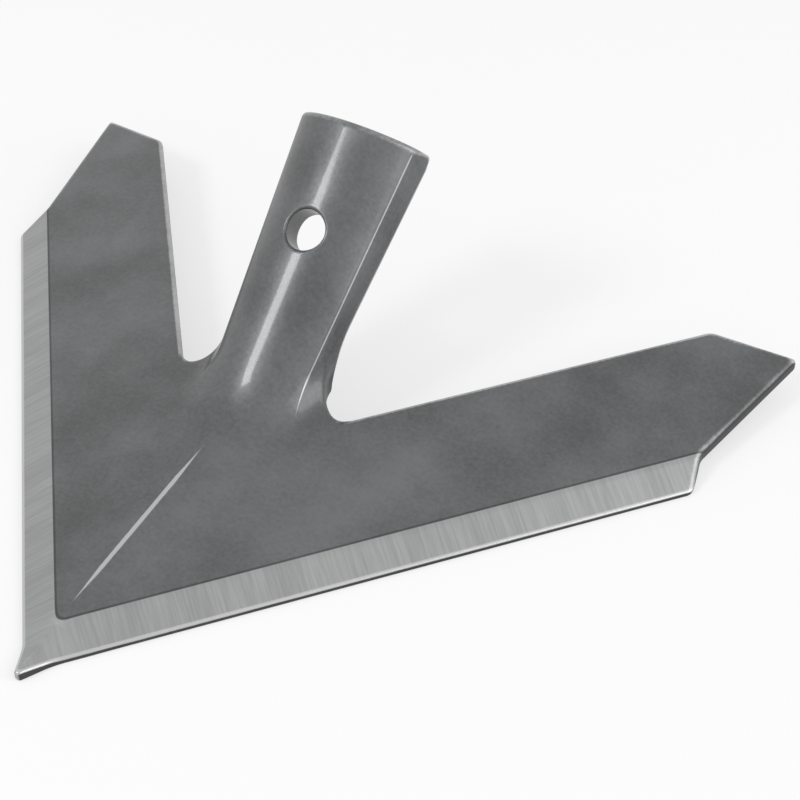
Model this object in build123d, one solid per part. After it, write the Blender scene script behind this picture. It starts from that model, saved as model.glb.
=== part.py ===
from build123d import *
import os
from math import atan, cos, degrees, radians, sin, sqrt, tan

# A nine-inch cultivator sweep, forged from one piece of steel.
# X runs across the blade, -Y is the direction of travel and +Z is up.
# The sweep rests on its two cutting edges, which lie in the plane Z = 0.
# It is modelled with the corner of its straight cutting edges at the origin,
# and moved at the end so that the origin is under its middle.
# Lengths are in millimetres and angles in degrees.

# Driving dimensions: wings
HALF_ANGLE = 38.7        # between a cutting edge and the line of travel
RAKE = 12.0              # rise of a wing, square to its cutting edge
EDGE_LENGTH = 176.0      # of one cutting edge, from the nose
EDGE_FACE = 1.4          # height of the blunt face along a cutting edge
BEVEL_WIDTH = 8.2        # of the ground bevel, seen from above
WING_THICKNESS = 4.2
WING_WIDTH = 44.5        # from the cutting edge to the inner edge, seen from above
BEVEL_END_LEAN = 5.8     # how far the bevel's end runs on past the edge's end
TIP_FLARE = 10.7         # between the wing's outer end and the line of travel
TIP_REACH = 190.5        # from the nose back to the outermost corner
TIP_REAR_SLOPE = 11.5    # between the wing's rear end and square across
NOTCH_RADIUS = 10.0      # of the notch between a wing and the stem

# Driving dimensions: drawn-out point
POINT_LENGTH = 2.2       # how far it stands out past the straight edges
POINT_ROOT = 7.5         # where it leaves the straight edges
POINT_HEIGHT = 2.8
POINT_WIDTH = 1.4
POINT_SHOULDER = 2.4     # height of the point's sides at its tip

# Driving dimensions: stem
STEM_SLOPE = 44.0        # rise of the crown
STEM_ROOT = 88.5         # from the nose back to where the crown meets the ridge
STEM_LENGTH = 81.5       # along the crown
STEM_ROOT_WIDTH = 29.6
STEM_TOP_WIDTH = 39.6
STEM_THICKNESS = 8.0
SHOULDER_SPREAD = 0.875  # where the flanks start, as a share of half the width
SHOULDER_DROP = 0.425    # how far below the crown they start, as the same share
FLANK_SLOPE = 67.0       # steepness of the flanks, in the stem's own section
SEAT_DROP = 0.82         # depth of the rear faces below the crown, as that share
SEAT_START = 7.0         # from the top of the wings up to where the rear faces start
BEND_SINK = 0.8          # how far the bend is set down into the ridge, along the crown
BEND_RADIUS = 30.0       # of the crown
TOP_ROUND = 1.8          # of the top end's two corners
HOLE_DIAMETER = 11.0     # clears an M10 bolt
HOLE_FROM_TOP = 30.5     # along the crown

# Worked out from the driving dimensions
EDGE_DIR = Vector(sin(radians(HALF_ANGLE)), cos(radians(HALF_ANGLE)), 0)
INWARD = Vector(-cos(radians(HALF_ANGLE)), sin(radians(HALF_ANGLE)), 0)
RAKE_RISE = tan(radians(RAKE))
UPRIGHT_THICKNESS = WING_THICKNESS / cos(radians(RAKE))
BEVEL_TOP = BEVEL_WIDTH * RAKE_RISE + UPRIGHT_THICKNESS
BEVEL_RISE = (BEVEL_TOP - EDGE_FACE) / BEVEL_WIDTH
STEM_UP = Vector(0, cos(radians(STEM_SLOPE)), sin(radians(STEM_SLOPE)))
STEM_FRONT = Vector(0, -sin(radians(STEM_SLOPE)), cos(radians(STEM_SLOPE)))
CROWN_ROOT = Vector(0, STEM_ROOT, UPRIGHT_THICKNESS + STEM_ROOT * INWARD.Y * RAKE_RISE)
RIDGE_SLOPE = degrees(atan(RAKE_RISE * INWARD.Y))
BEND_ARC = STEM_SLOPE - RIDGE_SLOPE
BEND_START = BEND_RADIUS * tan(radians(BEND_ARC / 2)) - BEND_SINK
SPAN = 2 * TIP_REACH     # reach of the cuts, past every face


def wing_point(along, inward, height=0.0):
    """A point of the right wing, placed along its cutting edge and in from it."""
    return EDGE_DIR * along + INWARD * inward + Vector(0, 0, height)


def above_wing(place):
    """Height of a point above the right wing's top face."""
    return place.Z - UPRIGHT_THICKNESS - place.dot(INWARD) * RAKE_RISE


def stem_half_width(along):
    """Half the stem's width, at a distance up the crown from its root."""
    share = along / STEM_LENGTH
    return (STEM_ROOT_WIDTH + (STEM_TOP_WIDTH - STEM_ROOT_WIDTH) * share) / 2


def stem_plane(along):
    """Plane across the stem, whose own Y axis points out of the stem's front."""
    return Plane(origin=CROWN_ROOT + STEM_UP * along, x_dir=(-1, 0, 0), z_dir=STEM_UP)


def seat_edge(along):
    """A point of the outer edge of the stem's right rear face."""
    half = stem_half_width(along)
    return CROWN_ROOT + STEM_UP * along - STEM_FRONT * (half * SEAT_DROP) + Vector(half, 0, 0)


def stem_foot():
    """The lower end of the right rear face's outer edge, a little above the wing."""
    low, high = seat_edge(0), seat_edge(STEM_LENGTH)
    share = above_wing(low) / (above_wing(low) - above_wing(high))
    return low + (high - low) * share + (high - low).normalized() * SEAT_START


def both_sides(right):
    """A right-hand form joined to its mirror image."""
    return right + mirror(right, about=Plane.YZ)


def wing_corners():
    """Corners of the right wing from above: edge end, bevel end, outer, rear and inner."""
    edge_end = wing_point(EDGE_LENGTH, 0)
    bevel_end = wing_point(EDGE_LENGTH + BEVEL_END_LEAN, BEVEL_WIDTH)
    outer_end = TIP_REACH - bevel_end.Y
    outer = Vector(bevel_end.X + outer_end * tan(radians(TIP_FLARE)), TIP_REACH)
    across = Vector(-cos(radians(TIP_REAR_SLOPE)), -sin(radians(TIP_REAR_SLOPE)))
    rear = outer + across * ((WING_WIDTH - outer.dot(INWARD)) / across.dot(INWARD))
    notch_centre = stem_foot() + Vector(NOTCH_RADIUS, 0, 0)
    centre_past_edge = notch_centre.dot(INWARD) - WING_WIDTH
    back_to_corner = sqrt(NOTCH_RADIUS ** 2 - centre_past_edge ** 2)
    inner = wing_point(notch_centre.dot(EDGE_DIR) - back_to_corner, WING_WIDTH)
    return edge_end, bevel_end, outer, rear, inner


def trimmed_outline():
    """Prism of the whole outline seen from above, which trims the raw forging."""
    foot, top = stem_foot(), seat_edge(STEM_LENGTH * 2)
    point_root = wing_point(POINT_ROOT, 0)
    flat = [Vector(corner.X, corner.Y) for corner in (point_root, *wing_corners())]
    outline = Polyline((0, -POINT_LENGTH), (POINT_WIDTH / 2, -POINT_LENGTH), *flat)
    outline += RadiusArc(flat[-1], Vector(foot.X, foot.Y), NOTCH_RADIUS)
    outline += Polyline((foot.X, foot.Y), (top.X, top.Y), (0, top.Y), (0, -POINT_LENGTH))
    return both_sides(extrude(make_face(outline), amount=SPAN))


def right_plate():
    """Raked plate of the right wing with its bevel, not yet trimmed to the outline."""
    section = Polyline(
        wing_point(-SPAN, 0),
        wing_point(-SPAN, 0, EDGE_FACE),
        wing_point(-SPAN, BEVEL_WIDTH, BEVEL_TOP),
        wing_point(-SPAN, SPAN, SPAN * RAKE_RISE + UPRIGHT_THICKNESS),
        wing_point(-SPAN, SPAN, SPAN * RAKE_RISE),
        close=True,
    )
    plate = extrude(make_face(section), amount=2 * SPAN, dir=EDGE_DIR)
    right_half = Box(SPAN, TIP_REACH, SPAN, align=(Align.MIN, Align.MIN, Align.CENTER))
    return plate & right_half


def point_section(back, half_width, side_height, middle_height):
    """Upright five-sided section of the point, square to the line of travel."""
    return make_face(Polyline(
        (-half_width, back, 0),
        (half_width, back, 0),
        (half_width, back, side_height),
        (0, back, middle_height),
        (-half_width, back, side_height),
        close=True,
    ))


def point():
    """Drawn-out point, from the two straight edges to a narrow blunt tip."""
    root = wing_point(POINT_ROOT, 0)
    root_height = EDGE_FACE + root.Y * INWARD.Y * BEVEL_RISE
    root_section = point_section(root.Y, root.X, EDGE_FACE, root_height)
    tip_section = point_section(-POINT_LENGTH, POINT_WIDTH / 2, POINT_SHOULDER, POINT_HEIGHT)
    return loft([tip_section, root_section], ruled=True)


def below_wings():
    """Everything below the two raked undersides."""
    rise = RAKE_RISE * INWARD.Y
    fall = -RAKE_RISE * INWARD.X
    section = Polyline(
        (0, -SPAN, -SPAN * rise),
        (SPAN, -SPAN, -SPAN * (rise + fall)),
        (SPAN, -SPAN, -SPAN),
        (-SPAN, -SPAN, -SPAN),
        (-SPAN, -SPAN, -SPAN * (rise + fall)),
        close=True,
    )
    return extrude(make_face(section), amount=3 * SPAN, dir=Vector(0, 1, rise))


def stem_section(along):
    """Filled section of the stem: an arched crown whose straight flanks run on down."""
    half = stem_half_width(along)
    shoulder = Vector(half * SHOULDER_SPREAD, -half * SHOULDER_DROP)
    flank = Vector(cos(radians(FLANK_SLOPE)), -sin(radians(FLANK_SLOPE))) * (2 * half)
    foot = shoulder + flank
    crown = ThreePointArc((-shoulder.X, shoulder.Y), (0, 0), (shoulder.X, shoulder.Y))
    rest = Polyline(crown @ 1, (foot.X, foot.Y), (-foot.X, foot.Y), crown @ 0)
    return stem_plane(along) * make_face(crown + rest)


def raw_stem():
    """Solid stem: straight and tapering, then bent forward to sink into the ridge."""
    bend_section = stem_section(BEND_START)
    bend_centre = CROWN_ROOT + STEM_UP * BEND_START + STEM_FRONT * BEND_RADIUS
    bend = revolve(bend_section, Axis(bend_centre, (-1, 0, 0)), revolution_arc=BEND_ARC)
    return loft([bend_section, stem_section(STEM_LENGTH)], ruled=True) + bend


def behind_seat():
    """Everything behind the stem's flat rear faces, up from its feet."""
    foot, top = stem_foot(), seat_edge(STEM_LENGTH * 2)
    reach = top.X + 1
    section = Polyline(
        (-reach, foot.Y, foot.Z),
        (-reach, top.Y, top.Z),
        (-reach, top.Y, -SPAN),
        (-reach, foot.Y, -SPAN),
        close=True,
    )
    return extrude(make_face(section), amount=2 * reach, dir=(1, 0, 0))


def trough_section(along):
    """Section of the hollow behind the stem, which leaves an even wall."""
    half = stem_half_width(along)
    spread, drop = half * SHOULDER_SPREAD, half * SHOULDER_DROP
    radius = (spread ** 2 + drop ** 2) / (2 * drop) - STEM_THICKNESS
    side = half - STEM_THICKNESS
    spring = sqrt(radius ** 2 - side ** 2) - radius - STEM_THICKNESS
    crown = ThreePointArc((-side, spring), (0, -STEM_THICKNESS), (side, spring))
    rest = Polyline(crown @ 1, (side, -SPAN / 4), (-side, -SPAN / 4), crown @ 0)
    return stem_plane(along) * make_face(crown + rest)


def trough():
    """Hollow of the stem, from below the wings to past its top end."""
    past_top = STEM_LENGTH + STEM_ROOT_WIDTH
    return loft([trough_section(-STEM_ROOT_WIDTH), trough_section(past_top)], ruled=True)


def bolt_hole():
    """Round hole, square through the crown of the stem."""
    place = stem_plane(STEM_LENGTH - HOLE_FROM_TOP).origin
    across = Plane(origin=place, x_dir=(1, 0, 0), z_dir=STEM_FRONT)
    return across * Cylinder(HOLE_DIAMETER / 2, STEM_TOP_WIDTH)


def top_corner():
    """What rounding takes off the right corner of the stem's top end."""
    foot, corner = stem_foot(), seat_edge(STEM_LENGTH)
    side = Vector(corner.Y - foot.Y, foot.X - corner.X).normalized()
    centre = corner - (side + STEM_UP) * (TOP_ROUND / (1 + side.dot(STEM_UP)))
    low, high = centre + side * TOP_ROUND, centre + STEM_UP * TOP_ROUND
    halfway = centre + (side + STEM_UP).normalized() * TOP_ROUND
    section = make_face(Polyline(high, corner, low) + ThreePointArc(low, halfway, high))
    return extrude(section, amount=STEM_TOP_WIDTH, dir=side.cross(STEM_UP), both=True)


def forging():
    """The whole sweep."""
    raw = both_sides(right_plate()) + raw_stem() - below_wings() + point()
    trimmed = (raw & trimmed_outline()) - behind_seat() - both_sides(top_corner())
    return trimmed - trough() - bolt_hole()


if __name__ == "__main__":
    os.makedirs("parts", exist_ok=True)
    sweep = forging()
    box = sweep.bounding_box()
    sweep = Pos(0, -(box.min.Y + box.max.Y) / 2, 0) * sweep
    export_step(sweep, "parts/sweep.step")
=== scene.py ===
import logging
import math
from dataclasses import dataclass, field
from enum import Enum

import bpy
import numpy as np
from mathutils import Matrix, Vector


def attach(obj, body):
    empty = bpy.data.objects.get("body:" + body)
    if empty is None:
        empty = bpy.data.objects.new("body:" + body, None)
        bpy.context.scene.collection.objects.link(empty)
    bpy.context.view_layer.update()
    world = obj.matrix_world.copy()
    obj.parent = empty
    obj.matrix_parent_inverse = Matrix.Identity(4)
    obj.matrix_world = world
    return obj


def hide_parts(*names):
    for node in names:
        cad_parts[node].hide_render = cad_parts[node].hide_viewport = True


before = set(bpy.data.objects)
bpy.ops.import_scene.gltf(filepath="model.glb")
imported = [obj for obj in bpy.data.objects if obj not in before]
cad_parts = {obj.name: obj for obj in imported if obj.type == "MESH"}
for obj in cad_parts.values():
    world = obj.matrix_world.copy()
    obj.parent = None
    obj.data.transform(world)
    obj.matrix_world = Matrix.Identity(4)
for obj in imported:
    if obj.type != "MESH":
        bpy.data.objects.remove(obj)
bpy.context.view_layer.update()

LOG = logging.getLogger("sweep")
MM = 0.001
Field = np.ndarray
Socket = bpy.types.NodeSocket
Sockets = bpy.types.bpy_prop_collection
Input = Socket | float | tuple
Run = tuple[float, float, float]


def round_max(first: Field, second: Field, radius: float | Field) -> Field:
    """Greater of two distances, with the corner between them rounded.

    A quarter of the radius times the squared closeness is added to the greater.

    Args:
        first, second: distances to two surfaces, in mm, negative inside.
        radius: how near they must be for the rounding to act.

    Returns:
        The distances to the rounded overlap of the two bodies.
    """
    close = np.maximum(radius - np.abs(first - second), 0.0) / radius
    return np.maximum(first, second) + close * close * radius / 4.0


def round_min(first: Field, second: Field, radius: float | Field) -> Field:
    """Lesser of two distances, with a fillet between them: round_max with the signs turned."""
    return -round_max(-first, -second, radius)


def right_of(x: Field, y: Field, start: Field, end: Field) -> Field:
    """Distance to the right of the line from start to end, taken square to it, from above."""
    run = (end - start) / np.linalg.norm(end - start)
    return (x - start[0]) * run[1] - (y - start[1]) * run[0]


def share(value: Field) -> Field:
    """The value, kept between nought and one."""
    return np.clip(value, 0.0, 1.0)


def nearness(away: Field, full: float) -> Field:
    """One up to a distance, falling to nought at twice that distance."""
    return share(2.0 - np.abs(away) / full)


def steps(*runs: Run) -> Field:
    """Uneven scale made of even runs, each with its start, end and step."""
    marks = [np.linspace(low, high, max(2, round((high - low) / step) + 1)) for low, high, step in runs]
    return np.unique(np.round(np.concatenate(marks), 6))


def shown(name: str, data: bpy.types.ID) -> bpy.types.Object:
    """Makes an object and links it into the scene.

    Args:
        name: its name.
        data: its mesh, lamp or camera.

    Returns:
        The object, at the origin.
    """
    made = bpy.data.objects.new(name, data)
    bpy.context.scene.collection.objects.link(made)
    return made


@dataclass(frozen=True)
class WingSizes:
    """Sizes of the two raked wings and of the point, in mm and degrees."""

    half_angle: float = 38.7
    rake: float = 12.0
    edge_length: float = 176.0
    edge_face: float = 1.4
    bevel_width: float = 8.2
    thickness: float = 4.2
    width: float = 44.5
    bevel_end_lean: float = 5.8
    tip_flare: float = 10.7
    tip_reach: float = 190.5
    tip_rear_slope: float = 11.5
    notch_radius: float = 10.0
    point_length: float = 2.2
    point_root: float = 7.5
    point_height: float = 2.8
    point_width: float = 1.4
    point_back_lean: float = 3.0

    @property
    def rise(self) -> float:
        """Rise of a wing for each millimetre in from its cutting edge."""
        return math.tan(math.radians(self.rake))

    @property
    def upright(self) -> float:
        """Thickness of a wing, measured straight up."""
        return self.thickness / math.cos(math.radians(self.rake))

    @property
    def bevel_rise(self) -> float:
        """Rise of the ground bevel for each millimetre in from the edge."""
        top = self.bevel_width * self.rise + self.upright
        return (top - self.edge_face) / self.bevel_width

    @property
    def along(self) -> Field:
        """Direction of the right cutting edge, seen from above."""
        angle = math.radians(self.half_angle)
        return np.array([math.sin(angle), math.cos(angle)])

    @property
    def inward(self) -> Field:
        """Direction square to the right cutting edge, into the wing."""
        return np.array([-self.along[1], self.along[0]])


@dataclass(frozen=True)
class StemSizes:
    """Sizes of the arched stem, in mm and degrees, and shares of half its width."""

    slope: float = 44.0
    root: float = 88.5
    length: float = 81.5
    root_width: float = 29.6
    top_width: float = 39.6
    thickness: float = 8.0
    shoulder_spread: float = 0.875
    shoulder_drop: float = 0.425
    flank_slope: float = 67.0
    seat_drop: float = 0.82
    seat_start: float = 7.0
    top_round: float = 1.8
    hole_diameter: float = 11.0
    hole_from_top: float = 30.5

    @property
    def up(self) -> Field:
        """Direction up along the crown."""
        angle = math.radians(self.slope)
        return np.array([0.0, math.cos(angle), math.sin(angle)])

    @property
    def front(self) -> Field:
        """Direction square out of the crown, to the front."""
        return np.array([0.0, -self.up[2], self.up[1]])

    def half_width(self, climb: float | Field) -> float | Field:
        """Half the stem's width at a distance up the crown."""
        return (self.root_width + (self.top_width - self.root_width) * climb / self.length) / 2.0


@dataclass(frozen=True)
class Rounding:
    """How far along the faces the forging's corners are rounded, in mm and shares."""

    ridge: float = 0.8
    nose_bevel: float = 3.4
    nose_least_share: float = 0.2
    bevel_line: float = 0.5
    bevel_corner: float = 1.5
    bevel_nick: float = 0.8
    cutting_edge: float = 0.45
    outline: float = 1.5
    plan_corner: float = 1.0
    notch_corner: float = 3.0
    valley: float = 5.0
    valley_growth: float = 0.4
    valley_least: float = 0.05
    under_edge: float = 0.8
    root: float = 7.0
    shoulder: float = 0.35
    top_rim: float = 1.8
    seat: float = 1.2
    seat_foot: float = 10.0
    hollow: float = 1.6
    hole: float = 1.0
    point: float = 0.6
    point_foot: float = 0.4
    point_joint: float = 0.5
    rest_face: float = 0.3


@dataclass(frozen=True)
class WearAndPaintedLight:
    """Where the soil and the grinding mark the steel, and where painted highlight and painted shade lie, in
    mm, degrees and shares.
    """

    ridge_half_width: float = 0.75
    ridge_from: float = 0.2
    ridge_to: float = 0.88
    shoulder_half_width: float = 0.42
    shoulder_slope: float = 59.0
    shoulder_start: float = 1.0
    shoulder_stop: float = 0.8
    edge_half_width: float = 0.55
    edge_middle: float = 0.35
    edge_near: float = 1.0
    near: float = 1.5
    fade: float = 14.0
    top_fade: float = 2.0
    side_fade: float = 12.0
    under_start: float = 0.7
    under_gain: float = 4.0
    rim_start: float = 0.6
    rim_fade: float = 3.0
    rim_share: float = 0.35
    upright_from: float = 0.1
    upright_fade: float = 0.3
    side_reach: float = 0.8


@dataclass
class SweepForm:
    """The sweep's whole form, as distances from its surface.

    Every method takes places in mm, with the corner of the two straight cutting
    edges at the origin, and gives distances that are negative inside the steel.
    Where it takes ax in place of x, that is the way off the middle plane.
    """

    wings: WingSizes = field(default_factory=WingSizes)
    stem: StemSizes = field(default_factory=StemSizes)
    rounding: Rounding = field(default_factory=Rounding)
    wear_and_light: WearAndPaintedLight = field(default_factory=WearAndPaintedLight)

    def __post_init__(self) -> None:
        """Works out the corners that the sizes give."""
        w, s = self.wings, self.stem
        self.crown_root = np.array([0.0, s.root, w.upright + s.root * w.inward[1] * w.rise])
        low, high = self.seat_edge(0.0), self.seat_edge(s.length)
        part = self.above_wing(low) / (self.above_wing(low) - self.above_wing(high))
        run = high - low
        self.foot = low + run * (part + s.seat_start / np.linalg.norm(run))
        self.side_normal = np.array([run[1], -run[0]]) / math.hypot(run[0], run[1])
        self.seat_normal = np.array([0.0, run[2], -run[1]]) / math.hypot(run[1], run[2])
        self.edge_end = w.along * w.edge_length
        self.bevel_end = w.along * (w.edge_length + w.bevel_end_lean) + w.inward * w.bevel_width
        rest = w.tip_reach - self.bevel_end[1]
        flare = math.tan(math.radians(w.tip_flare))
        self.outer = np.array([self.bevel_end[0] + rest * flare, w.tip_reach])
        self.notch_centre = self.foot[:2] + [w.notch_radius, 0.0]
        past = self.notch_centre @ w.inward - w.width
        back = math.sqrt(w.notch_radius ** 2 - past ** 2)
        self.inner = w.along * (self.notch_centre @ w.along - back) + w.inward * w.width

    @property
    def middle(self) -> float:
        """Distance from the straight edges' corner back to the outline's middle."""
        return (self.wings.tip_reach - self.wings.point_length) / 2.0

    def seat_edge(self, climb: float) -> Field:
        """A point of the right rear face's outer edge, half the width out and a share of it back."""
        s, half = self.stem, self.stem.half_width(climb)
        return self.crown_root + s.up * climb - s.front * (half * s.seat_drop) + [half, 0.0, 0.0]

    def above_wing(self, place: Field) -> float:
        """Height of one point above the right wing's top face."""
        w = self.wings
        return place[2] - w.upright - (place[:2] @ w.inward) * w.rise

    def inset(self, x: Field, y: Field, side: int) -> Field:
        """Distance in from the right (1) or left (-1) cutting edge, from above."""
        return side * x * self.wings.inward[0] + y * self.wings.inward[1]

    def planes_over(self, x: Field, y: Field, z: Field, rise: float, lift: float) -> list[Field]:
        """Distances above the two faces that rise in from the cutting edges.

        Args:
            x, y, z: the places.
            rise: the faces' rise for each millimetre in.
            lift: their height at the edges.

        Returns:
            The height over each face, divided by the length of its slope.
        """
        slant = math.hypot(1.0, rise)
        return [(z - lift - rise * self.inset(x, y, side)) / slant for side in (1, -1)]

    def roof(self, x: Field, y: Field, z: Field) -> Field:
        """Distance above the flat tops of both wings, which meet in the ridge."""
        faces = self.planes_over(x, y, z, self.wings.rise, self.wings.upright)
        return round_max(*faces, self.rounding.ridge)

    def bevel(self, x: Field, y: Field, z: Field) -> Field:
        """Distance above both ground bevels, whose meeting line is sharpest at the point.

        Args:
            x, y, z: the places.

        Returns:
            The distances, rounded more behind the point.
        """
        w, soft = self.wings, self.rounding
        faces = self.planes_over(x, y, z, w.bevel_rise, w.edge_face)
        past_point = (y - w.point_root * w.along[1]) / w.point_root
        return round_max(*faces, soft.nose_bevel * np.clip(past_point, soft.nose_least_share, 1.0))

    def underside(self, x: Field, y: Field, z: Field) -> Field:
        """Distance below both undersides, whose valley is sharper towards the nose.

        Args:
            x, y, z: the places.

        Returns:
            The distances, with a fillet that grows to the back.
        """
        soft = self.rounding
        right, left = self.planes_over(x, y, z, self.wings.rise, 0.0)
        return round_min(-right, -left, np.clip(soft.valley_growth * y, soft.valley_least, soft.valley))

    def outline(self, ax: Field, y: Field) -> Field:
        """Distance outside the outline from above, without the cutting edge.

        The tip is three straight cuts, with an inward nick where the bevel ends,
        and the notch is a circle taken out of the corner between wing and stem.

        Args:
            ax, y: the places.

        Returns:
            The distances.
        """
        w, soft = self.wings, self.rounding
        sides = right_of(ax, y, self.edge_end, self.bevel_end), right_of(ax, y, self.bevel_end, self.outer)
        slope = math.radians(w.tip_rear_slope)
        rear = (y - self.outer[1]) * math.cos(slope) - (ax - self.outer[0]) * math.sin(slope)
        tip = round_max(round_min(*sides, soft.bevel_nick), rear, soft.plan_corner)
        past_inner = self.inset(ax, y, 1) - w.width
        strip = (ax - self.foot[0]) * self.side_normal[0] + (y - self.foot[1]) * self.side_normal[1]
        block = np.maximum(ax - self.inner[0], y - self.foot[1])
        circle = np.hypot(ax - self.notch_centre[0], y - self.notch_centre[1]) - w.notch_radius
        middle = np.maximum(np.minimum(strip, block), -circle)
        return round_max(tip, round_min(past_inner, middle, soft.notch_corner), soft.plan_corner)

    def point_side(self, ax: Field, y: Field) -> Field:
        """Distance outside the point's two straight sides."""
        w = self.wings
        return right_of(ax, y, np.array([w.point_width / 2.0, -w.point_length]), w.along * w.point_root)

    def point(self, ax: Field, y: Field, z: Field) -> Field:
        """Distance outside the drawn-out point, a narrow wedge under the nose.

        Its top falls to both sides of a soft ridge, which climbs back to the
        bevels' meeting line, and its back leans away from the nose.

        Args:
            ax, y, z: the places.

        Returns:
            The distances.
        """
        w, soft = self.wings, self.rounding
        root = w.along * w.point_root
        root_height = w.edge_face + root[1] * w.inward[1] * w.bevel_rise
        climb = (root_height - w.point_height) / (root[1] + w.point_length)
        fall = (root_height - w.edge_face) / root[0]
        drop = fall * (np.hypot(ax, soft.point) - soft.point)
        top = (z - w.point_height - climb * (y + w.point_length) + drop) / math.hypot(1.0, fall)
        body = round_max(top, self.point_side(ax, y), soft.point)
        body = round_max(body, -(y + w.point_length), soft.point)
        body = round_max(body, -z, soft.point_foot)
        back = (y - root[1] - w.point_back_lean * z) / math.hypot(1.0, w.point_back_lean)
        return np.maximum(body, back)

    def stem_places(self, y: Field, z: Field) -> tuple[Field, Field]:
        """Places in the stem's own measures.

        Args:
            y, z: the places.

        Returns:
            The distance up the crown and the distance in front of it.
        """
        s = self.stem
        dy, dz = y - self.crown_root[1], z - self.crown_root[2]
        return dy * s.up[1] + dz * s.up[2], dy * s.front[1] + dz * s.front[2]

    def crown_radius(self, half: Field) -> Field:
        """Radius of the crown's arc, from its spread and drop."""
        spread, drop = half * self.stem.shoulder_spread, half * self.stem.shoulder_drop
        return (spread ** 2 + drop ** 2) / (2.0 * drop)

    def stem_front(self, ax: Field, y: Field, z: Field) -> Field:
        """Distance outside the stem's crown, flanks and top end.

        The crown is an arc, and the flanks are planes from the arc's ends on. The
        top end's two corners are rounded, and what rounds them draws back from
        the flanks with the square of the distance below the corners.

        Args:
            ax, y, z: the places.

        Returns:
            The distances.
        """
        s = self.stem
        climb, out = self.stem_places(y, z)
        below_root, past_top = 20.0, 5.0
        half = s.half_width(np.clip(climb, -below_root, s.length + past_top))
        radius = self.crown_radius(half)
        crown = np.hypot(ax, np.maximum(out + radius, 0.0)) - radius
        steep = math.radians(s.flank_slope)
        spread, drop = half * s.shoulder_spread, half * s.shoulder_drop
        flank = (ax - spread) * math.sin(steep) + (out + drop) * math.cos(steep)
        shell = round_max(crown, flank, self.rounding.shoulder)
        top = climb - s.length + s.top_round
        side = ax - half + s.top_round - np.minimum(top, 0.0) ** 2 / s.top_round
        corner = np.hypot(np.maximum(side, 0.0), np.maximum(top, 0.0))
        end = corner + np.minimum(np.maximum(side, top), 0.0) - s.top_round
        return round_max(shell, end, self.rounding.top_rim)

    def behind_seat(self, ax: Field, y: Field, z: Field) -> Field:
        """Distance behind the flat rear faces of the stem, no wider than the notches.

        Args:
            ax, y, z: the places.

        Returns:
            The distances, with a fillet down to the upright feet.
        """
        normal = self.seat_normal
        behind = (y - self.foot[1]) * normal[1] + (z - self.foot[2]) * normal[2]
        behind = round_min(behind, y - self.foot[1], self.rounding.seat_foot)
        return np.minimum(behind, self.notch_centre[0] - ax)

    def hollow(self, ax: Field, y: Field, z: Field) -> Field:
        """Distance outside the stem's hollow.

        It is an arc about the crown's own centre, smaller by the thickness,
        between sides that lie in from the stem's sides by the thickness.

        Args:
            ax, y, z: the places.

        Returns:
            The distances, negative in the hollow.
        """
        s = self.stem
        climb, out = self.stem_places(y, z)
        half = s.half_width(climb)
        radius = self.crown_radius(half)
        inner = np.hypot(ax, np.maximum(out + radius, 0.0)) - (radius - s.thickness)
        return round_max(ax - (half - s.thickness), inner, self.rounding.hollow)

    def hole(self, x: Field, y: Field, z: Field) -> Field:
        """Distance outside the bolt hole, a cylinder square through the crown."""
        s, (climb, _) = self.stem, self.stem_places(y, z)
        return np.hypot(x, climb - (s.length - s.hole_from_top)) - s.hole_diameter / 2.0

    def distance(self, x: Field, y: Field, z: Field) -> Field:
        """Distance outside the whole sweep.

        The wings and the stem are joined with a fillet, trimmed from below, at
        the edges and to the outline, and the seat, hollow and hole come off.

        Args:
            x, y, z: the places.

        Returns:
            The distances.
        """
        soft = self.rounding
        ax = np.abs(x)
        top = round_max(self.roof(x, y, z), self.bevel(x, y, z), soft.bevel_line)
        body = round_min(top, self.stem_front(ax, y, z), soft.root)
        body = round_max(body, self.underside(x, y, z), soft.under_edge)
        body = round_max(body, -self.inset(ax, y, 1), soft.cutting_edge)
        body = round_min(body, self.point(ax, y, z), soft.point_joint)
        body = round_max(body, -z, soft.rest_face)
        body = round_max(body, self.outline(ax, y), soft.outline)
        body = round_max(body, self.behind_seat(ax, y, z), soft.seat)
        body = round_max(body, -self.hollow(ax, y, z), soft.seat)
        return round_max(body, -self.hole(x, y, z), soft.hole)

    def ground(self, x: Field, y: Field, z: Field) -> Field:
        """How far a point of the surface lies within the ground bevel.

        Args:
            x, y, z: the points.

        Returns:
            The way in from the bevel's inner line, less than nought in the lower
            part of the cutting edge and on the underside.
        """
        w, soft = self.wings, self.rounding.bevel_corner
        low = self.planes_over(x, y, z, w.bevel_rise, w.edge_face)
        high = self.planes_over(x, y, z, w.rise, w.upright)
        even = w.rise / w.bevel_rise * math.hypot(1.0, w.bevel_rise) / math.hypot(1.0, w.rise)
        over = round_max(*low, soft) - round_max(*high, soft * even)
        across = over / (w.bevel_rise - w.rise)
        above_under = -self.underside(x, y, z) - self.wear_and_light.under_start
        return np.minimum(across, self.wear_and_light.under_gain * above_under)

    def edge_depth(self, ax: Field, y: Field) -> Field:
        """Way in from the cutting edge, or from the point's side where that is more."""
        return np.maximum(self.inset(ax, y, 1), -self.point_side(ax, y))

    def side_depth(self, x: Field, y: Field, z: Field) -> Field:
        """Way in from the nearest of the wings' and the point's sides, seen from above.

        Args:
            x, y, z: the points.

        Returns:
            That way in, and a share of the height above the wings, so that the painted
            shade that darkens the sides fades up the stem.
        """
        ax = np.abs(x)
        above = np.maximum(self.roof(x, y, z), 0.0)
        return np.minimum(self.edge_depth(ax, y), -self.outline(ax, y)) + above / self.wear_and_light.side_fade

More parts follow.
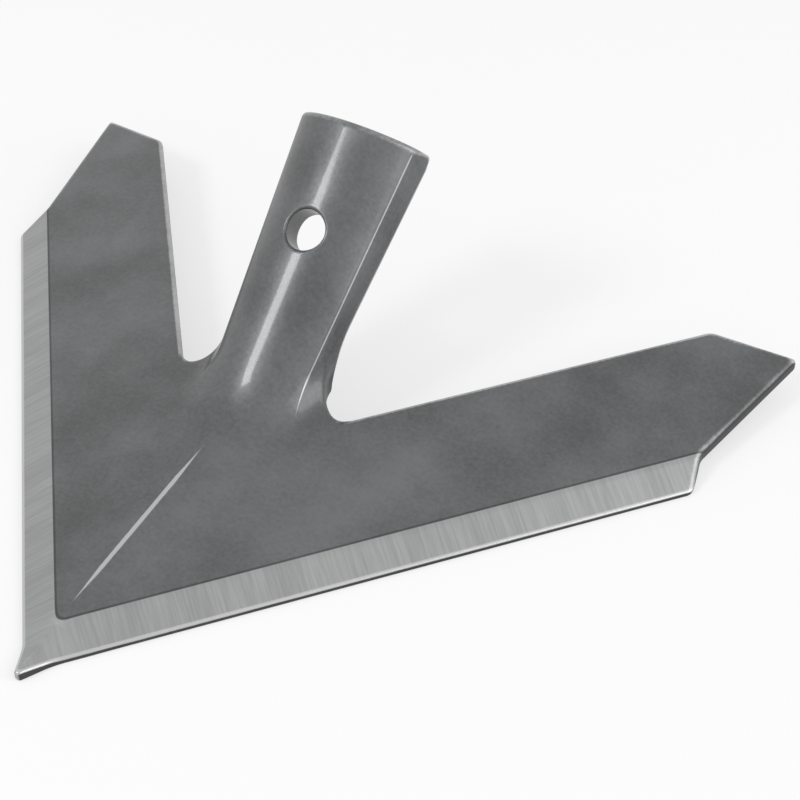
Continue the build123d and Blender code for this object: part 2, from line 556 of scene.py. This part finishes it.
    def worn_highlight_bands(self, x: Field, y: Field, z: Field) -> tuple[Field, Field]:
        """Bands polished bright by the soil and used as painted highlight: ridge, stem's shoulders and
        cutting edges.

        The offset from a band's middle changes sign there, so that it stays
        straight between vertices. It is x for the ridge, the way down the mean
        slope of crown and flank for a shoulder, and the way in for an edge.

        Args:
            x, y, z: the points.

        Returns:
            The offset from the band that reaches furthest, and its half width.
        """
        wear_and_light, s = self.wear_and_light, self.stem
        ends = np.minimum(y - wear_and_light.ridge_from * s.root, wear_and_light.ridge_to * s.root - y) / wear_and_light.fade
        lifted = 1.0 - np.abs(self.roof(x, y, z))
        ridge = wear_and_light.ridge_half_width * share(ends) * share(lifted) * nearness(x, wear_and_light.near)
        climb, out = self.stem_places(y, z)
        half = s.half_width(climb)
        across, below = np.abs(x) - half * s.shoulder_spread, out + half * s.shoulder_drop
        slope = math.radians(wear_and_light.shoulder_slope)
        down = across * math.cos(slope) - below * math.sin(slope)
        low, high = climb - wear_and_light.shoulder_start, s.length - wear_and_light.shoulder_stop - climb
        ends = np.minimum(low / wear_and_light.fade, high / wear_and_light.top_fade)
        near = nearness(np.hypot(across, below), wear_and_light.near)
        shoulder = wear_and_light.shoulder_half_width * share(ends) * near
        depth = self.edge_depth(np.abs(x), y)
        edge = wear_and_light.edge_half_width * nearness(depth, wear_and_light.edge_near)
        reach = np.maximum(np.maximum(ridge, shoulder), edge)
        offset = np.where(edge == reach, depth - wear_and_light.edge_middle, np.where(shoulder == reach, down, x))
        return offset, reach

    def rim_wear_highlight(self, x: Field, y: Field, z: Field) -> Field:
        """How much corners are polished bright, partly by the soil and partly as painted highlight: less at
        the hole's rim, which the bolt keeps from the soil.
        """
        away = share((self.hole(x, y, z) - self.wear_and_light.rim_start) / self.wear_and_light.rim_fade)
        return self.wear_and_light.rim_share + (1.0 - self.wear_and_light.rim_share) * away


@dataclass
class SurfaceNet:
    """Mesh of the surface where a form's distance is nought.

    The grid's lines follow the wings: one direction runs across the sweep, one
    goes in from the cutting edges and one goes up from the wings' undersides.
    It reaches past the form on all sides.
    """

    form: SweepForm
    across: Field
    inset: Field
    height: Field

    def places(self, across: Field, inset: Field, height: Field) -> tuple[Field, Field, Field]:
        """Turns grid measures into places.

        The depth is the inset plus the share of the width that the slanted edge
        takes, over the sine of the half angle. The height is added to the wing's
        rise at that inset.

        Args:
            across, inset, height: the grid measures.

        Returns:
            The places x, y and z.
        """
        w = self.form.wings
        y = (inset + np.abs(across) * w.along[1]) / w.along[0]
        return across, y, height + w.rise * inset

    @staticmethod
    def untangle(values: Field, rounds: int = 4, just_past: float = 1e-6) -> None:
        """Makes sure that the surface never touches itself along an edge.

        It would where two corners of a grid square are inside and lie across from
        each other. Of the four, the one nearest to the surface is put just past it.

        Args:
            values: the distances on the grid, changed in place.
            rounds: how often all squares are gone through.
            just_past: the distance that such a corner gets.
        """
        for axis in list(range(3)) * rounds:
            layers = np.moveaxis(values, axis, 0)
            lower, upper = layers[:, :, :-1], layers[:, :, 1:]
            square = np.stack([lower[:, :-1], lower[:, 1:], upper[:, :-1], upper[:, 1:]])
            inside = square < 0.0
            tangled = (inside[0] == inside[3]) & (inside[1] == inside[2]) & (inside[0] != inside[1])
            spots = np.argwhere(tangled)
            nearest = np.argmin(np.abs(square[:, tangled]), axis=0)
            spots[:, 1] += nearest % 2
            spots[:, 2] += nearest // 2
            spots = tuple(spots.T)
            layers[spots] = np.where(layers[spots] < 0.0, just_past, -just_past)

    def crossed_edges(self, values: Field, axis: int) -> tuple[Field, Field, Field]:
        """Finds the grid's edges along one axis that the surface crosses.

        Args:
            values: the distances on the grid.
            axis: which way the edges run.

        Returns:
            Their first corners, the points of crossing in grid measures, and
            which of them start inside the steel.
        """
        scales = (self.across, self.inset, self.height)
        corners = np.argwhere(np.diff(values < 0.0, axis=axis))
        ahead = corners.copy()
        ahead[:, axis] += 1
        before, after = values[tuple(corners.T)], values[tuple(ahead.T)]
        crossing = before / (before - after)
        points = np.stack([scales[k][corners[:, k]] for k in range(3)], axis=1)
        points[:, axis] += crossing * (scales[axis][ahead[:, axis]] - scales[axis][corners[:, axis]])
        return corners, points, before < 0.0

    @staticmethod
    def cells_round(corners: Field, axis: int) -> list[tuple[Field, ...]]:
        """Finds the four cells round each edge.

        Args:
            corners: the edges' first corners.
            axis: which way the edges run.

        Returns:
            The cells' indices, in the order of a turn about the axis.
        """
        cells = []
        for one, two in ((1, 1), (0, 1), (0, 0), (1, 0)):
            cell = corners.copy()
            cell[:, (axis + 1) % 3] -= one
            cell[:, (axis + 2) % 3] -= two
            cells.append(tuple(cell.T))
        return cells

    def build(self) -> tuple[Field, Field]:
        """Finds the surface's vertices and faces.

        A cell of the grid that the surface passes has one vertex, at the mean of
        the points where its edges are crossed. A crossed edge joins the vertices
        of its four cells into a face.

        Returns:
            The vertices in grid measures, and the faces as rows of four indices.
        """
        grid = np.meshgrid(self.across, self.inset, self.height, indexing="ij")
        values = self.form.distance(*self.places(*grid))
        self.untangle(values)
        shape = tuple(n - 1 for n in values.shape)
        total, count = np.zeros(shape + (3,)), np.zeros(shape)
        crossed = [self.crossed_edges(values, axis) for axis in range(3)]
        for axis, (corners, points, _) in enumerate(crossed):
            for cell in self.cells_round(corners, axis):
                np.add.at(total, cell, points)
                np.add.at(count, cell, 1.0)
        active = count > 0
        numbers = -np.ones(shape, dtype=np.int64)
        numbers[active] = np.arange(int(active.sum()))
        vertices = total[active] / count[active][:, None]
        faces = []
        for axis, (corners, _, starts_inside) in enumerate(crossed):
            quads = np.stack([numbers[cell] for cell in self.cells_round(corners, axis)], axis=1)
            quads[~starts_inside] = quads[~starts_inside][:, ::-1]
            faces.append(quads)
        return vertices, np.concatenate(faces)

    def slope(self, points: Field, reach: float = 0.02) -> Field:
        """Direction in which the distance grows, from small steps both ways.

        Args:
            points: rows of places.
            reach: length of the steps.

        Returns:
            Each point's growth along x, y and z.
        """
        distance = self.form.distance
        growth = [distance(*(points + move).T) - distance(*(points - move).T) for move in np.eye(3) * reach]
        return np.stack(growth, axis=1) / (2.0 * reach)

    def settle(self, points: Field, rounds: int = 4, longest: float = 0.3) -> Field:
        """Moves the vertices square on to the surface, by the distance left over.

        Args:
            points: rows of places near the surface.
            rounds: how often they are moved.
            longest: the most that they move along an axis in a round.

        Returns:
            The places on the surface.
        """
        least_steepness = 0.2
        for _ in range(rounds):
            slope = self.slope(points)
            left = self.form.distance(*points.T)
            move = (left / np.maximum((slope ** 2).sum(axis=1), least_steepness))[:, None] * slope
            points = points - np.clip(move, -longest, longest)
        return points

    def crest(self, points: Field, reach: float = 0.7) -> Field:
        """How sharply the surface turns outwards, from its curvature.

        The distances a short way off in all six directions are added up and the
        middle one is taken off: the sum is nought on a flat face.

        Args:
            points: rows of places on the surface.
            reach: the short way.

        Returns:
            The sums, over the short way.
        """
        total = sum(
            self.form.distance(*(points + sign * move).T)
            for move in np.eye(3) * reach
            for sign in (1.0, -1.0)
        )
        return (total - 6.0 * self.form.distance(*points.T)) / reach


class Mixing(Enum):
    """What a Mix node blends: its data type, and its inputs and output by number."""

    VALUE = ("FLOAT", (0, 2, 3), 0)
    COLOUR = ("RGBA", (0, 6, 7), 2)


@dataclass
class NodePad:
    """A node tree with short ways to add and join its nodes."""

    tree: bpy.types.NodeTree

    @classmethod
    def emptied(cls, owner: bpy.types.Material | bpy.types.World) -> "NodePad":
        """Turns on and clears the nodes of a material or world.

        Args:
            owner: the material or world.

        Returns:
            A pad on its empty tree.
        """
        owner.use_nodes = True
        owner.node_tree.nodes.clear()
        return cls(owner.node_tree)

    def add(self, kind: str, inputs: dict[str | int, Input] | None = None, **settings: object) -> Sockets:
        """Adds a node, sets its properties, and links or sets its inputs.

        Args:
            kind: the node's type.
            inputs: sockets or values, by the inputs' names or numbers.
            settings: the node's properties by name.

        Returns:
            The node's outputs.
        """
        node = self.tree.nodes.new(kind)
        for name, value in settings.items():
            setattr(node, name, value)
        for place, value in (inputs or {}).items():
            if isinstance(value, Socket):
                self.tree.links.new(value, node.inputs[place])
            else:
                node.inputs[place].default_value = value
        return node.outputs

    def math(self, operation: str, *values: Socket | float) -> Socket:
        """A Math node on up to three values."""
        return self.add("ShaderNodeMath", dict(enumerate(values)), operation=operation)[0]

    def spread(self, value: Socket, low: Socket | float, high: Socket | float) -> Socket:
        """A smooth step from nought at low to one at high."""
        inputs = {"Value": value, "From Min": low, "From Max": high}
        return self.add("ShaderNodeMapRange", inputs, interpolation_type="SMOOTHSTEP")["Result"]

    def mix(self, mixing: Mixing, part: Socket | float, low: Input, high: Input) -> Socket:
        """A value or colour that lies a part of the way from one to another."""
        kind, places, result = mixing.value
        return self.add("ShaderNodeMix", dict(zip(places, (part, low, high))), data_type=kind)[result]

    def noise(self, vector: Socket, scale: Socket | float, detail: float, roughness: float) -> Socket:
        """A noise value about one half."""
        inputs = {"Vector": vector, "Scale": scale, "Detail": detail, "Roughness": roughness}
        return self.add("ShaderNodeTexNoise", inputs)[0]

    def group(self, tree: bpy.types.NodeTree, **inputs: Socket | float) -> Sockets:
        """Places a shader group and gives its outputs."""
        return self.add("ShaderNodeGroup", inputs, node_tree=tree)

    def straight_rays(self) -> Socket:
        """Tells straight rays from scattered light.

        Returns:
            One for rays from the camera, mirrored or let through, nought for others.
        """
        rays = self.add("ShaderNodeLightPath")
        mirrored = self.math("MAXIMUM", rays["Is Glossy Ray"], rays["Is Transmission Ray"])
        return self.math("MAXIMUM", rays["Is Camera Ray"], mirrored)


class EffectGroups:
    """Shader groups that the steel's finishes share."""

    @staticmethod
    def start(name: str, inputs: dict[str, float], outputs: tuple[str, ...]) -> tuple[NodePad, Sockets]:
        """Makes an empty group with its named sockets.

        Args:
            name: the group's name.
            inputs: each input's name and standard value; "Vector" is a vector.
            outputs: names of the outputs, all values.

        Returns:
            The group's pad and what the group is given.
        """
        group = bpy.data.node_groups.new(name, "ShaderNodeTree")
        for label, value in inputs.items():
            kind = "NodeSocketVector" if label == "Vector" else "NodeSocketFloat"
            socket = group.interface.new_socket(name=label, in_out="INPUT", socket_type=kind)
            if label != "Vector":
                socket.default_value = value
        for label in outputs:
            group.interface.new_socket(name=label, in_out="OUTPUT", socket_type="NodeSocketFloat")
        pad = NodePad(group)
        return pad, pad.add("NodeGroupInput")

    @classmethod
    def forge_skin(cls) -> bpy.types.NodeTree:
        """Tone and height of a forged skin: broad clouds, fine grain and a few pits.

        The pits lie where a mottle, seven times finer than the clouds, is high.

        Returns:
            The group.
        """
        inputs = {"Vector": 0.0, "Cloud Scale": 36.0, "Grain Scale": 900.0}
        pad, given = cls.start("forge_skin", inputs, ("Tone", "Height"))
        cloud = pad.noise(given["Vector"], given["Cloud Scale"], 4.0, 0.55)
        grain = pad.noise(given["Vector"], given["Grain Scale"], 3.0, 0.6)
        mottle_scale = pad.math("MULTIPLY", given["Cloud Scale"], 7.0)
        mottle = pad.noise(given["Vector"], mottle_scale, 3.0, 0.5)
        pits = pad.spread(mottle, 0.64, 0.84)
        tone = pad.math("ADD", pad.math("MULTIPLY", cloud, 0.7), pad.math("MULTIPLY", grain, 0.3))
        tone = pad.math("SUBTRACT", tone, pad.math("MULTIPLY", pits, 0.1))
        height = pad.math("ADD", pad.math("MULTIPLY", mottle, 0.6), pad.math("MULTIPLY", grain, 0.25))
        height = pad.math("SUBTRACT", height, pad.math("MULTIPLY", pits, 0.25))
        pad.add("NodeGroupOutput", {"Tone": tone, "Height": height})
        return pad.tree

    @classmethod
    def grinding(cls) -> bpy.types.NodeTree:
        """Tone and height of grinding marks, long square to the edge and fine along it.

        Returns:
            The group, whose vector's first part runs along the edge.
        """
        inputs = {"Vector": 0.0, "Fineness": 1500.0, "Length": 60.0}
        pad, given = cls.start("grinding", inputs, ("Tone", "Height"))
        scales = {0: given["Fineness"], 1: given["Length"], 2: given["Length"]}
        scale = pad.add("ShaderNodeCombineXYZ", scales)[0]
        factors = {0: given["Vector"], 1: scale}
        stretched = pad.add("ShaderNodeVectorMath", factors, operation="MULTIPLY")[0]
        fine = pad.noise(stretched, 1.0, 4.0, 0.65)
        broad = pad.noise(stretched, 0.12, 2.0, 0.5)
        pad.add("NodeGroupOutput", {"Tone": pad.mix(Mixing.VALUE, 0.35, fine, broad), "Height": fine})
        return pad.tree

    @classmethod
    def edge_wear_highlight(cls) -> bpy.types.NodeTree:
        """Share of bright steel along the outward corners and the polished bands, partly soil abrasion and
        partly painted highlight.

        The breakup, a tone about one half, moves both borders a little in and out.

        Returns:
            The group.
        """
        inputs = {"Crest": 0.0, "Offset": 0.0, "Reach": 0.0, "Breakup": 0.5, "Start": 0.28, "Full": 0.7}
        pad, given = cls.start("edge_wear_highlight", inputs, ("Rubbed",))
        uneven = pad.math("MULTIPLY", pad.math("SUBTRACT", given["Breakup"], 0.5), 0.6)
        corners = pad.spread(pad.math("ADD", given["Crest"], uneven), given["Start"], given["Full"])
        reach = pad.math("MULTIPLY", given["Reach"], pad.math("ADD", uneven, 1.0))
        within = pad.math("SUBTRACT", reach, pad.math("ABSOLUTE", given["Offset"]))
        lines = pad.spread(within, 0.0, 0.35)
        pad.add("NodeGroupOutput", {"Rubbed": pad.math("MAXIMUM", corners, lines)})
        return pad.tree


class Finish(Enum):
    """The finishes of the one forging."""

    FORGED = "forged"
    GROUND = "ground"
    # Painted shade: the near-black tone of the side faces and of a thin line by the bevel.
    SCALE = "scale"
    # Bright polished steel: partly soil abrasion, partly painted highlight.
    RUBBED = "rubbed"


@dataclass(frozen=True)
class SteelTone:
    """Colour and roughness of one finish, and how far a tone makes them vary."""

    colour: tuple[float, float, float]
    roughness: float
    colour_spread: float = 0.0
    roughness_spread: float = 0.0

    def tinted(self, side: float) -> tuple[float, float, float, float]:
        """The colour at the light (1) or dark (-1) end of its spread, or between (0)."""
        return tuple(c * (1.0 + side * self.colour_spread * 0.5) for c in self.colour) + (1.0,)

    def uneven_colour(self, pad: NodePad, tone: Socket) -> Socket:
        """The colour, made a little darker and lighter by a tone about one half."""
        return pad.mix(Mixing.COLOUR, pad.spread(tone, 0.25, 0.75), self.tinted(-1.0), self.tinted(1.0))

    def uneven_roughness(self, pad: NodePad, tone: Socket) -> Socket:
        """The roughness, made a little less and more by a tone about one half."""
        low = self.roughness - self.roughness_spread / 2.0
        return pad.math("ADD", low, pad.math("MULTIPLY", tone, self.roughness_spread))


@dataclass(frozen=True)
class ForgedSteel:
    """Hardened steel with a dull grey skin, ground bright on the bevel.

    Painted shade darkens the side faces nearly black and lies in a thin dark line
    just outside the bevel. Bright polished steel on the upward corners and bands is
    partly soil abrasion and partly painted highlight. A clear film of oil lies on
    the skin alone. Widths are in mm.
    """

    tones: dict[Finish, SteelTone] = field(
        default_factory=lambda: {
            Finish.FORGED: SteelTone((0.119, 0.121, 0.124), 0.42, 0.7, 0.18),
            Finish.GROUND: SteelTone((0.33, 0.332, 0.335), 0.36, 0.3, 0.14),
            # Painted shade: near black, for the side faces and the line by the bevel.
            Finish.SCALE: SteelTone((0.022, 0.022, 0.023), 0.5),
            # Polished steel: partly soil abrasion, partly painted highlight.
            Finish.RUBBED: SteelTone((0.58, 0.58, 0.585), 0.28),
        }
    )
    side_border: tuple[float, float] = (0.05, 0.35)
    bevel_border: tuple[float, float] = (-0.12, 0.12)
    # Place and strength of the painted shade line just outside the bevel.
    shade_line_middle: float = 0.28
    shade_line_half_width: float = 0.34
    shade_line_border: float = 0.2
    shade_line_strength: float = 0.5
    # How far the painted shade darkens the side faces.
    side_shade_strength: float = 0.7
    # Strength of the polished steel, partly soil abrasion and partly painted highlight.
    wear_highlight_strength: float = 0.75
    skin_metallic: float = 0.75
    film_weight: float = 0.4
    film_roughness: float = 0.1
    marks_height: float = 0.3
    bump_strength: float = 0.35
    bump_distance: float = 0.25 * MM
    half_angle: float = WingSizes.half_angle

    def along_edge(self, pad: NodePad, where: Socket) -> Socket:
        """Turns coordinates so that the first runs along the nearer cutting edge.

        Args:
            pad: the material's pad.
            where: Object coordinates.

        Returns:
            The coordinates, folded to the right half and turned about the vertical.
        """
        x, y, z = pad.add("ShaderNodeSeparateXYZ", {0: where})
        folded = pad.add("ShaderNodeCombineXYZ", {0: pad.math("ABSOLUTE", x), 1: y, 2: z})[0]
        turn = {"Vector": folded, "Angle": -math.radians(90.0 - self.half_angle)}
        return pad.add("ShaderNodeVectorRotate", turn, rotation_type="Z_AXIS")[0]

    def masks(self, pad: NodePad, tone: Socket) -> tuple[Socket, Socket, Socket]:
        """Works out from the piece's attributes where the finishes lie.

        Args:
            pad: the material's pad.
            tone: the skin's tone, which breaks up the polished steel and its painted highlight.

        Returns:
            The shares of ground steel, of painted shade and of polished steel that is partly painted
            highlight.
        """
        ground_in, side_depth, crest, offset, reach = (
            pad.add("ShaderNodeAttribute", attribute_name=name)["Fac"]
            for name in ("ground", "side_depth", "crest", "band_highlight_offset", "band_highlight_reach")
        )
        inner = pad.spread(side_depth, *self.side_border)
        ground = pad.math("MULTIPLY", pad.spread(ground_in, *self.bevel_border), inner)
        # Painted shade: a thin dark line just outside the bevel.
        off_line = pad.math("ABSOLUTE", pad.math("ADD", ground_in, self.shade_line_middle))
        line = pad.spread(pad.math("SUBTRACT", self.shade_line_half_width, off_line), 0.0, self.shade_line_border)
        line = pad.math("MULTIPLY", line, self.shade_line_strength)
        # Painted shade: the side faces darkened.
        sides = pad.math("MULTIPLY", pad.math("SUBTRACT", 1.0, inner), self.side_shade_strength)
        # Polished corners and bands: partly soil abrasion, partly painted highlight.
        wear_highlight_group = pad.group(EffectGroups.edge_wear_highlight(), Crest=crest, Offset=offset, Reach=reach, Breakup=tone)
        rubbed = pad.math("MULTIPLY", wear_highlight_group["Rubbed"], self.wear_highlight_strength)
        return ground, pad.math("MAXIMUM", line, sides), rubbed

    def material(self) -> bpy.types.Material:
        """Makes the steel's material: the skin, with the other finishes laid over it.

        Returns:
            The material, which reads Object coordinates and the piece's attributes.
        """
        made = bpy.data.materials.new("forged_steel")
        pad = NodePad.emptied(made)
        where = pad.add("ShaderNodeTexCoord")["Object"]
        skin = pad.group(EffectGroups.forge_skin(), Vector=where)
        marks = pad.group(EffectGroups.grinding(), Vector=self.along_edge(pad, where))
        ground, painted_shade, rubbed = self.masks(pad, skin["Tone"])
        # The third tone is the painted shade, the fourth the polished steel that also paints highlights.
        forged, bevel, scale, bright = (self.tones[finish] for finish in Finish)
        colour = forged.uneven_colour(pad, skin["Tone"])
        rough = forged.uneven_roughness(pad, skin["Tone"])
        layers = (
            (ground, bevel.uneven_colour(pad, marks["Tone"]), bevel.uneven_roughness(pad, marks["Tone"])),
            # Painted shade on the side faces and the line by the bevel.
            (painted_shade, scale.tinted(0.0), scale.roughness),
            # Polished steel, partly painted highlight.
            (rubbed, bright.tinted(0.0), bright.roughness),
        )
        for covered, over, dullness in layers:
            colour = pad.mix(Mixing.COLOUR, covered, colour, over)
            rough = pad.mix(Mixing.VALUE, covered, rough, dullness)
        bare = pad.math("MAXIMUM", ground, painted_shade)
        fine = pad.math("MULTIPLY", marks["Height"], self.marks_height)
        height = pad.mix(Mixing.VALUE, ground, skin["Height"], fine)
        bump = {"Strength": self.bump_strength, "Distance": self.bump_distance, "Height": height}
        shader = pad.add("ShaderNodeBsdfPrincipled", {
            "Base Color": colour,
            "Roughness": rough,
            "Metallic": pad.mix(Mixing.VALUE, ground, self.skin_metallic, 1.0),
            "Coat Weight": pad.mix(Mixing.VALUE, bare, self.film_weight, 0.0),
            "Coat Roughness": self.film_roughness,
            "Normal": pad.add("ShaderNodeBump", bump)[0],
        })
        pad.add("ShaderNodeOutputMaterial", {"Surface": shader[0]})
        return made


@dataclass(frozen=True)
class GridRuns:
    """The grid's even runs, each with its start, end and step in mm.

    They are finest at the form's edges, on the stem and at the bolt hole.
    """

    across: tuple[Run, ...] = ((0.0, 21.0, 0.5), (21.0, 100.0, 1.4), (100.0, 116.0, 0.5))
    inset: tuple[Run, ...] = (
        (-3.4, -0.6, 0.4), (-0.6, 1.4, 0.22), (1.4, 7.2, 0.7), (7.2, 9.6, 0.25),
        (9.6, 42.2, 0.9), (42.2, 46.0, 0.35), (46.0, 71.0, 0.5), (71.0, 100.6, 0.35),
    )
    height: tuple[Run, ...] = ((-1.6, 5.6, 0.3), (5.6, 24.0, 0.6), (24.0, 55.2, 0.4))


@dataclass
class Sweep:
    """The forging itself: one mesh with its steel."""

    form: SweepForm = field(default_factory=SweepForm)
    runs: GridRuns = field(default_factory=GridRuns)
    steel: ForgedSteel = field(default_factory=ForgedSteel)
    normal_reach: float = 0.08

    def net(self) -> SurfaceNet:
        """Lays out the grid.

        Returns:
            The grid, the same on both sides of the middle plane.
        """
        across = steps(*self.runs.across)
        both = np.unique(np.concatenate([-across, across]))
        return SurfaceNet(self.form, both, steps(*self.runs.inset), steps(*self.runs.height))

    def marks(self, net: SurfaceNet, points: Field, normals: Field) -> dict[str, Field]:
        """Measures what the steel's finishes depend on.

        Args:
            net: the grid, which knows the form.
            points: the vertices, in mm.
            normals: their outward directions.

        Returns:
            The vertices' values, by the names of the mesh's attributes.
        """
        form, wear_and_light = self.form, self.form.wear_and_light
        upwards = share((normals[:, 2] - wear_and_light.upright_from) / wear_and_light.upright_fade)
        side_depth = form.side_depth(*points.T)
        # Painted highlight: corners are polished only where they face up or lie away from the sides.
        met = np.maximum(upwards, share(side_depth / wear_and_light.side_reach))
        band_highlight_offset, band_highlight_reach = form.worn_highlight_bands(*points.T)
        return {
            "ground": form.ground(*points.T),
            "side_depth": side_depth,
            "crest": net.crest(points) * form.rim_wear_highlight(*points.T) * met,
            "band_highlight_offset": band_highlight_offset,
            # Painted highlight: the polished bands only on upward faces.
            "band_highlight_reach": band_highlight_reach * upwards,
        }

    def build(self) -> bpy.types.Object:
        """Makes the mesh, its attributes and its material.

        Returns:
            The finished piece, in metres, at the origin.
        """
        net = self.net()
        measures, faces = net.build()
        points = net.settle(np.stack(net.places(*measures.T), axis=1))
        normals = net.slope(points, self.normal_reach)
        normals /= np.linalg.norm(normals, axis=1)[:, None]
        place = (points - [0.0, self.form.middle, 0.0]) * MM
        mesh = bpy.data.meshes.new("sweep_steel")
        mesh.from_pydata(place.tolist(), [], faces.tolist())
        mesh.validate()
        mesh.polygons.foreach_set("use_smooth", np.ones(len(mesh.polygons), dtype=bool))
        for name, values in self.marks(net, points, normals).items():
            mesh.attributes.new(name, "FLOAT", "POINT").data.foreach_set("value", values.astype(np.float32))
        mesh.normals_split_custom_set_from_vertices(normals.tolist())
        mesh.materials.append(self.steel.material())
        piece = shown("sweep_steel", mesh)
        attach(piece, "root")
        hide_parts("sweep")
        LOG.info("sweep_steel: %d vertices, %d faces", len(points), len(faces))
        return piece


@dataclass(frozen=True)
class Lamp:
    """A soft square lamp: place, size and aim in metres, and power in watts."""

    name: str
    place: tuple[float, float, float]
    size: float
    power: float
    aim: tuple[float, float, float] = (0.0, 0.0, 0.02)

    def build(self) -> None:
        """Makes the lamp and points it at its aim."""
        light = bpy.data.lights.new(self.name, "AREA")
        light.size = self.size
        light.energy = self.power
        made = shown(self.name, light)
        made.location = self.place
        away = Vector(self.aim) - Vector(self.place)
        made.rotation_euler = away.to_track_quat("-Z", "Y").to_euler()


@dataclass(frozen=True)
class Studio:
    """Floor, light and camera, in metres, degrees and pixels.

    The middle is the distance from the nose back to the origin.
    """

    middle: float
    lamps: tuple[Lamp, ...] = (
        Lamp("key", (-0.5, -0.76, 0.92), 0.3, 4.5),
        Lamp("side", (1.15, 0.2, 0.65), 1.0, 6.0),
    )
    surround_seen: float = 0.96
    surround_light: float = 0.66
    floor_reach: float = 4.0
    floor_grey: float = 0.94
    floor_glow: float = 0.6
    floor_fade: tuple[float, float] = (0.35, 1.6)
    azimuth: float = 30.71
    elevation: float = 40.57
    distance: float = 0.4914
    shift_right: float = 0.0889
    shift_up: float = 0.0648
    pixels_per_metre: float = 4240.0
    picture_pixels: float = 800.0
    sensor: float = 36.0
    nearest: float = 0.01
    furthest: float = 50.0

    def floor_paint(self) -> bpy.types.Material:
        """Makes the floor's material: matt, to keep a shadow, and clear from below.

        Straight rays see it partly as white, and far off wholly as the surround.

        Returns:
            The material.
        """
        paint = bpy.data.materials.new("floor_pale")
        pad = NodePad.emptied(paint)
        matt = pad.add("ShaderNodeBsdfDiffuse", {"Color": (*[self.floor_grey] * 3, 1.0)})
        where = pad.add("ShaderNodeTexCoord")["Object"]
        away = pad.add("ShaderNodeVectorMath", {0: where}, operation="LENGTH")["Value"]
        fading = pad.spread(away, *self.floor_fade)
        white = pad.mix(Mixing.VALUE, fading, 1.0, self.surround_seen)
        glow = pad.add("ShaderNodeEmission", {"Strength": white})
        glowing = pad.mix(Mixing.VALUE, fading, self.floor_glow, 1.0)
        seen = pad.math("MULTIPLY", pad.straight_rays(), glowing)
        lit = pad.add("ShaderNodeMixShader", {0: seen, 1: matt[0], 2: glow[0]})
        below = pad.add("ShaderNodeNewGeometry")["Backfacing"]
        clear = pad.add("ShaderNodeBsdfTransparent")
        both = pad.add("ShaderNodeMixShader", {0: below, 1: lit[0], 2: clear[0]})
        pad.add("ShaderNodeOutputMaterial", {"Surface": both[0]})
        return paint

    def floor(self) -> None:
        """Makes the wide square floor."""
        reach = self.floor_reach
        mesh = bpy.data.meshes.new("floor")
        corners = [(-reach, -reach, 0), (reach, -reach, 0), (reach, reach, 0), (-reach, reach, 0)]
        mesh.from_pydata(corners, [], [(0, 1, 2, 3)])
        mesh.materials.append(self.floor_paint())
        made = shown("floor", mesh)

    def surround(self) -> None:
        """Makes a white world for the camera and for reflections, dimmer as a light."""
        world = bpy.data.worlds.new("studio")
        bpy.context.scene.world = world
        pad = NodePad.emptied(world)
        strength = pad.mix(Mixing.VALUE, pad.straight_rays(), self.surround_light, self.surround_seen)
        back = pad.add("ShaderNodeBackground", {"Color": (1.0, 1.0, 1.0, 1.0), "Strength": strength})
        pad.add("ShaderNodeOutputWorld", {"Surface": back[0]})

    def camera(self) -> None:
        """Makes the camera, at the picture's angle."""
        a, e = math.radians(self.azimuth), math.radians(self.elevation)
        back = Vector((math.sin(a) * math.cos(e), -math.cos(a) * math.cos(e), math.sin(e)))
        right = Vector((math.cos(a), math.sin(a), 0.0))
        up = back.cross(right)
        data = bpy.data.cameras.new("camera")
        data.sensor_width = self.sensor
        data.lens = self.sensor * self.pixels_per_metre * self.distance / self.picture_pixels
        data.clip_start, data.clip_end = self.nearest, self.furthest
        made = shown("camera", data)
        made.location = back * self.distance + right * self.shift_right + up * self.shift_up
        made.location.y -= self.middle
        made.rotation_mode = "QUATERNION"
        made.rotation_quaternion = (-back).to_track_quat("-Z", "Y")
        bpy.context.scene.camera = made

    def build(self) -> None:
        """Sets up the whole studio."""
        self.floor()
        self.surround()
        for lamp in self.lamps:
            lamp.build()
        self.camera()
        bpy.context.scene.view_settings.view_transform = "Standard"


def main() -> None:
    """Builds the sweep and its studio."""
    logging.basicConfig(level=logging.INFO, format="%(name)s: %(message)s")
    sweep = Sweep()
    sweep.build()
    Studio(sweep.form.middle * MM).build()


if __name__ == "__main__":
    main()
